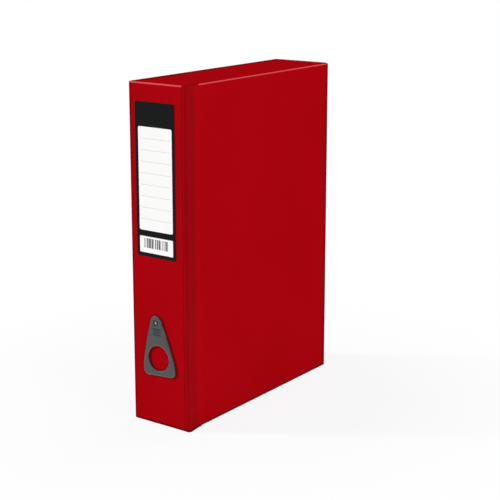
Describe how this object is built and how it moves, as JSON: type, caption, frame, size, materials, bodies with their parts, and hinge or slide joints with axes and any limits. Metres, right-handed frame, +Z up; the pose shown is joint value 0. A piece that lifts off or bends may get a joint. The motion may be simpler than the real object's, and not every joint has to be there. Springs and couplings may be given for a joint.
{
  "type": "box file",
  "caption": "Foolscap box file of covered board with a hinged lid, spine label, ring pull, lock spring and snap catch.",
  "frame": {"origin": "middle of the underside that the box file stands on", "axes": "+Z up along the spine, -Y out of the spine, +X out of the lid"},
  "size_m": [0.076, 0.2678, 0.368],
  "materials": {
    "red_covering": "satin",
    "lining": "matte",
    "label_print": "satin",
    "label_paper": "satin",
    "dark_plastic": "satin",
    "bright_steel": "polished"
  },
  "bodies": {
    "case": {"base_board": "red_covering", "spine_board": "red_covering", "hinge_rail": "red_covering", "bottom_wall": "red_covering", "top_wall": "red_covering", "fore_edge_wall": "red_covering", "hinge_covering": "red_covering", "base_lining": "lining", "wall_lining": "lining", "spine_label": "label_print", "writing_panel": "label_paper", "lower_panel": "label_paper", "pull_tab": "dark_plastic", "pull_rivet": "bright_steel", "pull_washer": "bright_steel", "spring_plate": "bright_steel", "spring_plate_rivet_1": "bright_steel", "spring_plate_rivet_2": "bright_steel", "spring_plate_rivet_3": "bright_steel", "spring_plate_rivet_4": "bright_steel", "pivot_pin": "bright_steel", "torsion_spring_top": "bright_steel", "torsion_spring_bottom": "bright_steel", "catch_socket": "dark_plastic", "catch_rivet_1": "bright_steel", "catch_rivet_2": "bright_steel"},
    "lid": {"lid_board": "red_covering", "lid_lining": "lining", "catch_stud": "dark_plastic"},
    "loop": {"ring_pull": "dark_plastic"},
    "bail": {"spring_bail": "bright_steel", "press_bar": "dark_plastic"}
  },
  "joints": [
    {"name": "lid_hinge", "type": "hinge", "parent": "case", "child": "lid", "pos_m": [0.0371, -0.12075, 0.184], "axis": [0, 0, -1], "range_deg": [0, 180], "deforming": ["hinge_covering"]},
    {"name": "pull_fold", "type": "hinge", "parent": "case", "child": "loop", "pos_m": [-0.00402, -0.13485, 0.10383], "axis": [-0.9969, 0, -0.0785], "range_deg": [0, 120]},
    {"name": "bail_pivot", "type": "hinge", "parent": "case", "child": "bail", "pos_m": [-0.0274, -0.1, 0.184], "axis": [0, 0, -1], "range_deg": [0, 33], "stiffness_Nm_per_rad": 0.6, "springref_deg": -34.38, "deforming": ["torsion_spring_top", "torsion_spring_bottom"]}
  ]
}
